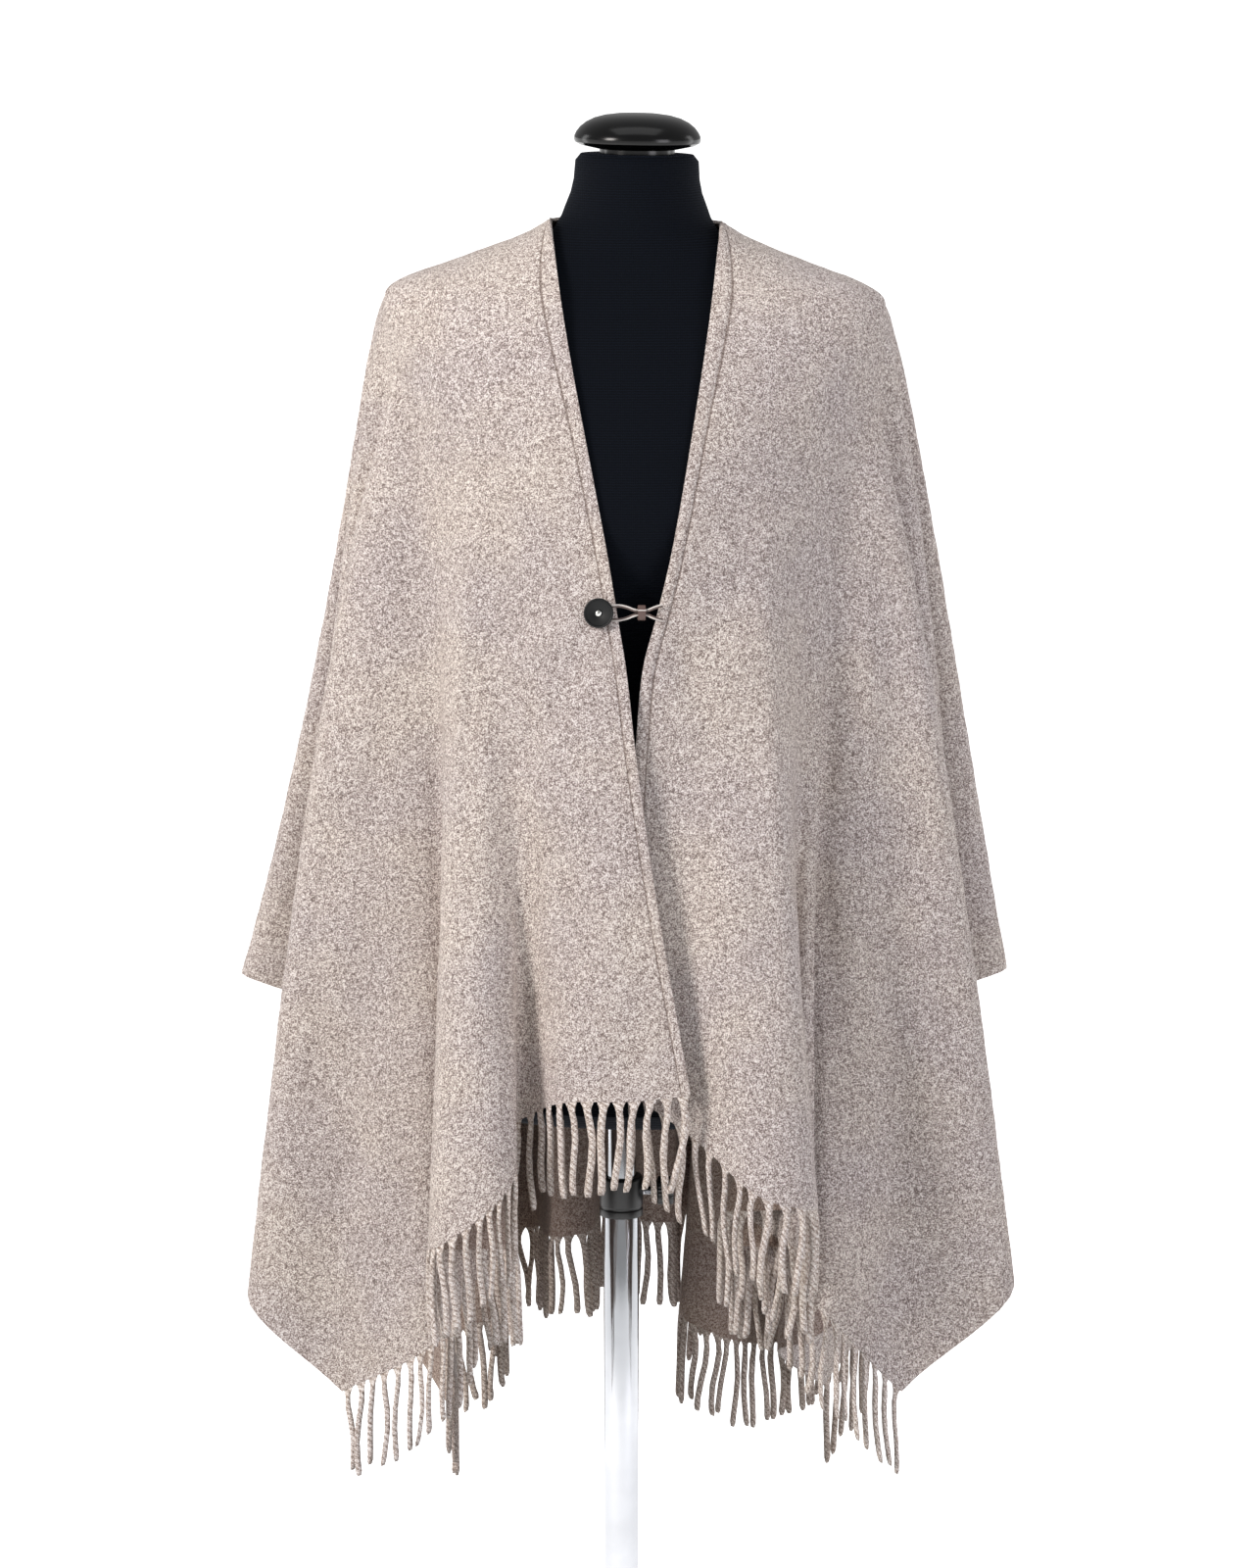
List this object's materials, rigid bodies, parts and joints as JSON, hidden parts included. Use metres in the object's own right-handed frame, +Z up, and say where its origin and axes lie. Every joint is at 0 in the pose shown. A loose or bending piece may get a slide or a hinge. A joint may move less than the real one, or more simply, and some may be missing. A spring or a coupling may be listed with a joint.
{
  "type": "fringed poncho on a dress form",
  "caption": "Open-front wool poncho with fringed hems and a button-and-cord clasp, draped on a limbless dress form with a neck cap on a round-based pole stand.",
  "frame": {"origin": "middle of the underside of the stand's base, on the floor", "axes": "+Z up the pole to the neck cap, front of the poncho towards -Y, +X to the right of a viewer who faces the front"},
  "size_m": [0.6064, 0.4973, 1.4201],
  "materials": {
    "melange_wool": "brushed melange twill, matt",
    "fringe_yarn": "twisted wool yarn, matt",
    "black_jersey": "fine ribbed jersey, matt",
    "gloss_black": "high gloss",
    "chrome": "polished",
    "black_plastic": "satin moulded",
    "black_paint": "satin paint",
    "button_black": "satin",
    "silver_stud": "bright",
    "cord": "round waxed cord",
    "brown_leather": "smooth"
  },
  "bodies": {
    "root": {"cape_cloth": "melange_wool", "fringe_front_left": "fringe_yarn", "fringe_back": "fringe_yarn", "fringe_front_right": "fringe_yarn", "dress_form": "black_jersey", "neck_cap": "gloss_black", "stand_rod": "chrome", "stand_tube": "chrome", "stand_clamp": "black_plastic", "clamp_screw": "chrome", "clamp_knob": "black_plastic", "stand_base": "black_paint", "clasp_button": "button_black", "clasp_stud": "silver_stud", "clasp_cord_upper": "cord", "clasp_cord_lower": "cord", "clasp_wrap": "brown_leather"}
  },
  "joints": []
}
